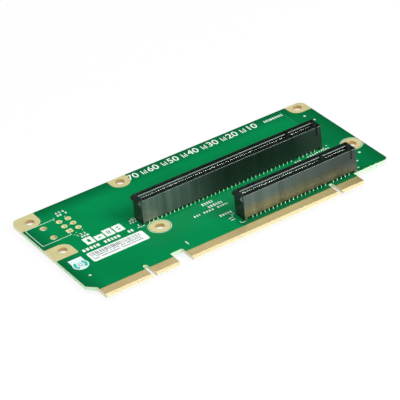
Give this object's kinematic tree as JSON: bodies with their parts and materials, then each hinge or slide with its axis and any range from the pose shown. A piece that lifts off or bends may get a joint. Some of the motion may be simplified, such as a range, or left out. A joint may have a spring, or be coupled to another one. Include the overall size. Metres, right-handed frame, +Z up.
{
  "type": "pcie riser card",
  "caption": "Flat server riser board with two card slots standing on it, gold edge tongues along the front and plated screw holes for its bracket.",
  "frame": {"origin": "under the middle of the board's outline, on the plane that the slots' locating pegs stand on", "axes": "+X along the board towards the short overhang, +Y from the edge tongues to the back edge, +Z up from the board to the slots"},
  "size_m": [0.1454, 0.0706, 0.0143],
  "materials": {
    "solder_mask_laminate": "semi-gloss green solder mask over glass-fibre laminate",
    "slot_plastic": "moulded black, semi-matte",
    "contact_gold": "gold-plated spring strip",
    "solder": "bright reflowed tin",
    "finger_gold": "satin hard gold",
    "pad_gold": "satin immersion gold",
    "label_paper": "matte white print film",
    "sticker_film": "smooth pale film",
    "silk_ink": "matte white board ink"
  },
  "bodies": {
    "root": {"circuit_board": "solder_mask_laminate", "x16_housing": "slot_plastic", "x8_housing": "slot_plastic", "x16_front_contacts": "contact_gold", "x16_back_contacts": "contact_gold", "x8_front_contacts": "contact_gold", "x8_back_contacts": "contact_gold", "x16_solder_joints": "solder", "x8_solder_joints": "solder", "x16_top_fingers": "finger_gold", "x16_bottom_fingers": "finger_gold", "x4_top_fingers": "finger_gold", "x4_bottom_fingers": "finger_gold", "ground_pad_back_left": "pad_gold", "ground_pad_left": "pad_gold", "ground_pad_back_middle": "pad_gold", "ground_pad_centre": "pad_gold", "ground_pad_back_right": "pad_gold", "ground_pad_right": "pad_gold", "header_pads": "pad_gold", "fiducial_dots": "pad_gold", "serial_label": "label_paper", "inspection_sticker": "sticker_film"}
  },
  "joints": []
}
